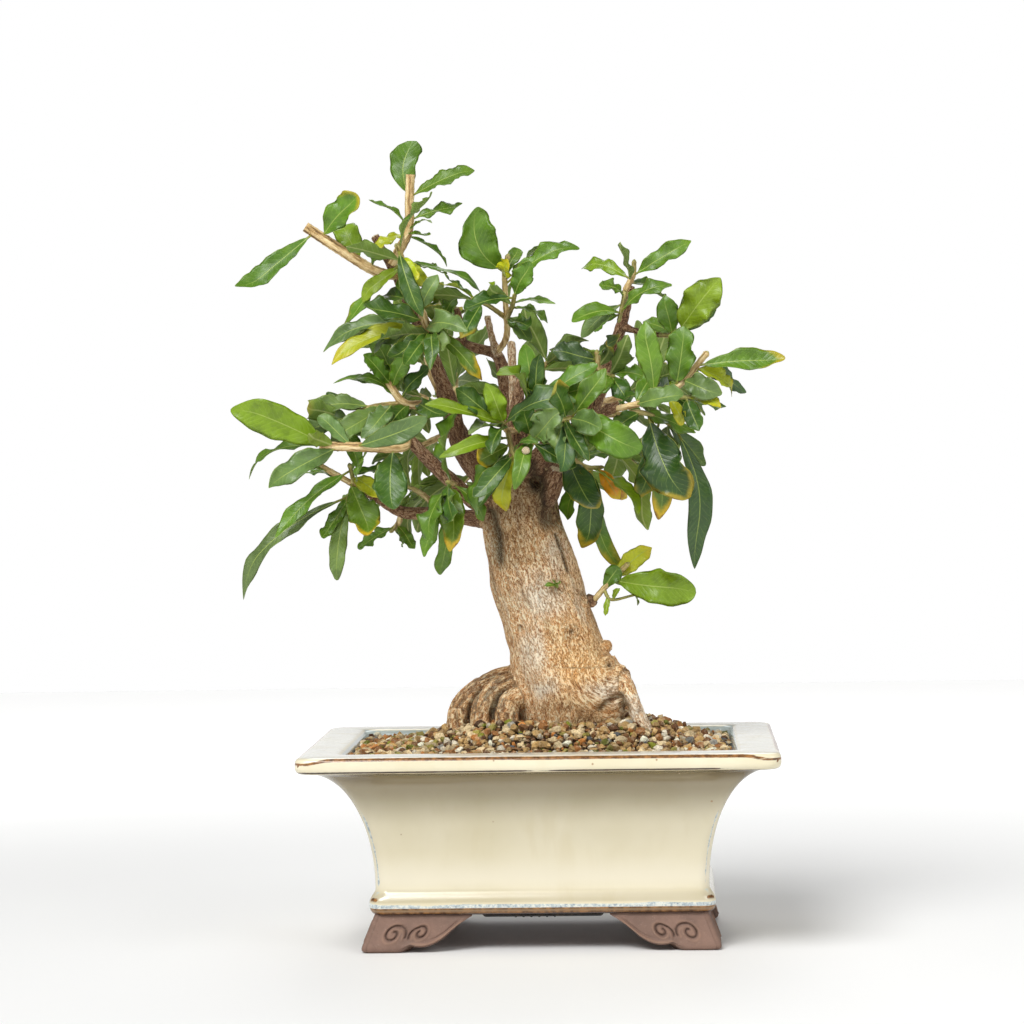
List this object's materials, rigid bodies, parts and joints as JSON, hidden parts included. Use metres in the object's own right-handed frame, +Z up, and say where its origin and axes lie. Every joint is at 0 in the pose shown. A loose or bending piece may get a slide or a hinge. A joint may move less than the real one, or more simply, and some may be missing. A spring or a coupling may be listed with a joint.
{
  "type": "bonsai tree in pot",
  "caption": "Pomegranate bonsai with a leaning trunk, arching surface roots and a leafy crown, planted in a footed rectangular glazed pot.",
  "frame": {"origin": "middle of the whole part at the surface it stands on", "axes": "+Z up; the front of the pot faces -Y; +X to the right seen from the front"},
  "size_m": [0.361, 0.2676, 0.521],
  "materials": {
    "glaze": "glossy cream glaze",
    "clay": "bare reddish brown clay",
    "plastic": "black moulded mesh",
    "wire": "black coated wire",
    "gravel": "loose grit of mixed browns",
    "bark": "fissured tan bark",
    "leaf": "glossy green leaf"
  },
  "bodies": {
    "root": {"pot": "glaze", "foot_front_left": "clay", "foot_front_right": "clay", "foot_rear_left": "clay", "foot_rear_right": "clay", "drainage_mesh_left": "plastic", "drainage_mesh_right": "plastic", "tie_wire": "wire", "soil": "gravel", "wood": "bark", "shoot_top": "leaf", "shoot_top_left": "leaf", "shoot_upper_mid": "leaf", "shoot_tan_stub": "leaf", "shoot_left_mid": "leaf", "shoot_left_cut": "leaf", "shoot_left_low": "leaf", "shoot_low_back_left": "leaf", "shoot_low_mid": "leaf", "shoot_front_left": "leaf", "shoot_front_centre": "leaf", "shoot_front_mid": "leaf", "shoot_front_right": "leaf", "shoot_hang_right": "leaf", "shoot_right_top": "leaf", "shoot_right_fork": "leaf", "shoot_right_inner": "leaf", "shoot_top_centre": "leaf", "shoot_upper_back": "leaf", "shoot_low_right": "leaf", "shoot_hang_centre": "leaf", "shoot_back_left_low": "leaf", "shoot_back_left_end": "leaf", "shoot_back_left_out": "leaf", "shoot_back_right_low": "leaf", "shoot_back_right_end": "leaf", "shoot_back_right_out": "leaf", "shoot_back_top_end": "leaf", "shoot_back_top_low": "leaf", "shoot_back_mid_left": "leaf", "shoot_back_mid_right": "leaf", "shoot_mid_left": "leaf", "shoot_mid_right": "leaf", "shoot_mid_low_left": "leaf"}
  },
  "joints": []
}
